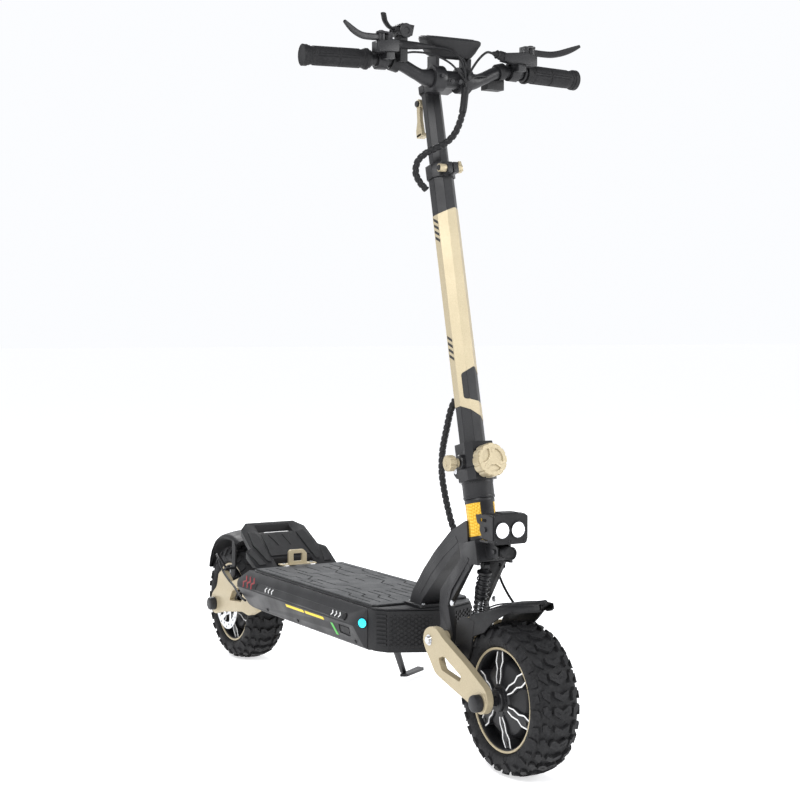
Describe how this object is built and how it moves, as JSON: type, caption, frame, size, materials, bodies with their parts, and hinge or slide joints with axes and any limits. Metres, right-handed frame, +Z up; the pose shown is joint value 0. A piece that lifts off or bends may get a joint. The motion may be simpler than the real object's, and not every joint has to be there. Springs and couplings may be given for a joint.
{
  "type": "electric kick scooter",
  "caption": "Folding electric kick scooter with two fat off-road tyres, swing-arm suspension, footboard with rear footrest and telescopic steering stem with wide handlebar.",
  "frame": {"origin": "on the ground, midway between the two wheel axles, on the centre plane", "axes": "-Y forward, +X to the rider's left, +Z up"},
  "size_m": [0.5606, 1.3721, 1.2714],
  "materials": {
    "gold_paint": "satin",
    "black_metal": "satin",
    "black_plastic": "matte",
    "rubber": "matte",
    "cable": "satin",
    "tyre": "matte",
    "deck_mat": "matte",
    "steel": "satin",
    "battery": "satin",
    "aluminium": "satin",
    "orange_plastic": "satin",
    "lens": "clear",
    "screen": "gloss",
    "reflector": "gloss",
    "lamp_cyan": "gloss",
    "lamp_red": "gloss",
    "white_mark": "satin",
    "green_mark": "satin"
  },
  "bodies": {
    "frame": {"deck_tub": "black_metal", "deck_lid": "black_metal", "deck_mat": "deck_mat", "deck_nose": "black_plastic", "battery_pack": "battery", "motor_controller": "aluminium", "footrest": "black_plastic", "latch_loop": "gold_paint", "neck": "black_metal", "headset_bearing": "steel", "rear_brake_cable": "cable"},
    "kickstand": {"kickstand": "black_metal"},
    "rear_arm": {"rear_swing_arm": "gold_paint", "rear_axle": "black_metal", "rear_caliper": "black_metal", "rear_fender": "black_plastic"},
    "rear_wheel": {"rear_tyre": "tyre", "rear_hub_motor": "black_metal", "rear_brake_rotor": "steel"},
    "rear_shock_upper": {"rear_shock_cylinder": "black_metal", "rear_spring": "steel"},
    "rear_shock_lower": {"rear_shock_rod": "steel"},
    "steerer": {"fold_base": "black_metal", "fork": "black_metal", "headlight": "black_plastic", "horn": "black_plastic"},
    "front_arm": {"front_swing_arm": "gold_paint", "front_axle": "black_metal", "front_caliper": "black_metal", "front_fender": "black_plastic"},
    "front_wheel": {"front_tyre": "tyre", "front_hub_motor": "black_metal", "front_brake_rotor": "steel"},
    "front_shock_upper": {"front_shock_cylinder": "black_metal", "front_spring": "steel"},
    "front_shock_lower": {"front_shock_rod": "steel"},
    "stem": {"stem_tube": "gold_paint", "fold_housing": "black_metal", "fold_pin": "steel", "height_clamp": "black_metal", "lower_loom": "cable"},
    "latch_knob": {"latch_knob": "gold_paint"},
    "lock_pin": {"lock_pin": "gold_paint"},
    "clamp_lever": {"clamp_lever": "gold_paint"},
    "upper_stem": {"inner_tube": "black_metal", "bar_clamp": "black_metal", "handlebar": "black_metal", "grip_right": "rubber", "grip_left": "rubber", "brake_perch_right": "black_metal", "brake_perch_left": "black_metal", "throttle_housing": "black_plastic", "switch_pod": "black_plastic", "dashboard": "black_plastic", "upper_loom": "cable"},
    "folding_hook": {"folding_hook": "gold_paint"},
    "brake_lever_right": {"brake_lever_right": "black_metal"},
    "brake_lever_left": {"brake_lever_left": "black_metal"},
    "throttle_trigger": {"throttle_trigger": "black_plastic"},
    "horn_button": {"horn_button": "orange_plastic"}
  },
  "joints": [
    {"name": "steering", "type": "hinge", "parent": "frame", "child": "steerer", "pos_m": [0, -0.44006, 0.3898], "axis": [0, 0.2244, 0.9745], "range_deg": [-35, 35]},
    {"name": "stem_fold", "type": "hinge", "parent": "steerer", "child": "stem", "pos_m": [0, -0.38959, 0.49311], "axis": [-1, 0, 0], "range_deg": [0, 90], "deforming": ["lower_loom"]},
    {"name": "stem_height", "type": "slide", "parent": "stem", "child": "upper_stem", "axis": [0, 0.2244, 0.9745], "range_m": [-0.05, 0.03], "deforming": ["upper_loom"]},
    {"name": "latch_knob_turn", "type": "hinge", "parent": "stem", "child": "latch_knob", "pos_m": [0, -0.46025, 0.51605], "axis": [0, -0.9745, 0.2244], "continuous": true},
    {"name": "lock_pin_pull", "type": "slide", "parent": "stem", "child": "lock_pin", "axis": [-1, 0, 0], "range_m": [0, 0.008], "stiffness_N_per_m": 1500, "springref_m": -0.004},
    {"name": "clamp_lever_swing", "type": "hinge", "parent": "stem", "child": "clamp_lever", "pos_m": [0, -0.32874, 1.0204], "axis": [1, 0, 0], "range_deg": [0, 100]},
    {"name": "folding_hook_swing", "type": "hinge", "parent": "upper_stem", "child": "folding_hook", "pos_m": [0, -0.23811, 1.14217], "axis": [1, 0, 0], "range_deg": [0, 110]},
    {"name": "brake_lever_right_pull", "type": "hinge", "parent": "upper_stem", "child": "brake_lever_right", "pos_m": [-0.152, -0.354, 1.23], "axis": [0, 0, -1], "range_deg": [0, 22], "stiffness_Nm_per_rad": 0.6, "springref_deg": -17.19},
    {"name": "brake_lever_left_pull", "type": "hinge", "parent": "upper_stem", "child": "brake_lever_left", "pos_m": [0.152, -0.354, 1.23], "axis": [0, 0, 1], "range_deg": [0, 22], "stiffness_Nm_per_rad": 0.6, "springref_deg": -17.19},
    {"name": "throttle_pull", "type": "hinge", "parent": "upper_stem", "child": "throttle_trigger", "pos_m": [-0.112, -0.344, 1.2477], "axis": [0, 0, -1], "range_deg": [0, 28], "stiffness_Nm_per_rad": 0.2, "springref_deg": -17.19},
    {"name": "horn_button_press", "type": "slide", "parent": "upper_stem", "child": "horn_button", "axis": [0, -1, 0], "range_m": [0, 0.0015], "stiffness_N_per_m": 600, "springref_m": -0.002},
    {"name": "front_suspension", "type": "hinge", "parent": "steerer", "child": "front_arm", "pos_m": [0, -0.388, 0.204], "axis": [-1, 0, 0], "range_deg": [0, 12], "stiffness_Nm_per_rad": 420, "springref_deg": -7.45},
    {"name": "front_wheel_spin", "type": "hinge", "parent": "front_arm", "child": "front_wheel", "pos_m": [0, -0.55, 0.1275], "axis": [1, 0, 0], "continuous": true},
    {"name": "front_shock_swing", "type": "hinge", "parent": "steerer", "child": "front_shock_upper", "pos_m": [0, -0.446, 0.334], "axis": [1, 0, 0], "range_deg": [0, 4.32]},
    {"name": "front_shock_stroke", "type": "slide", "parent": "front_shock_upper", "child": "front_shock_lower", "axis": [0, -0.2108, 0.9775], "range_m": [0, 0.0065], "deforming": ["front_spring"]},
    {"name": "rear_suspension", "type": "hinge", "parent": "frame", "child": "rear_arm", "pos_m": [0, 0.34, 0.178], "axis": [1, 0, 0], "range_deg": [0, 12], "stiffness_Nm_per_rad": 650, "springref_deg": -8.02, "deforming": ["rear_brake_cable"]},
    {"name": "rear_wheel_spin", "type": "hinge", "parent": "rear_arm", "child": "rear_wheel", "pos_m": [0, 0.55, 0.1275], "axis": [1, 0, 0], "continuous": true},
    {"name": "rear_shock_swing", "type": "hinge", "parent": "frame", "child": "rear_shock_upper", "pos_m": [0, 0.368, 0.262], "axis": [1, 0, 0], "range_deg": [0, 1.56]},
    {"name": "rear_shock_stroke", "type": "slide", "parent": "rear_shock_upper", "child": "rear_shock_lower", "axis": [0, -0.4138, 0.9104], "range_m": [0, 0.013], "deforming": ["rear_spring"]},
    {"name": "kickstand_swing", "type": "hinge", "parent": "frame", "child": "kickstand", "pos_m": [0.096, 0.07, 0.149], "axis": [0.8472, -0.0926, 0.5231], "range_deg": [0, 55.1]}
  ],
  "couplings": [
    {"joint": "front_shock_swing", "follows": "front_suspension", "ratio": 0.33505},
    {"joint": "front_shock_stroke", "follows": "front_suspension", "m_per_rad": 0.029287},
    {"joint": "rear_shock_swing", "follows": "rear_suspension", "ratio": 0.10502},
    {"joint": "rear_shock_stroke", "follows": "rear_suspension", "m_per_rad": 0.06025}
  ]
}
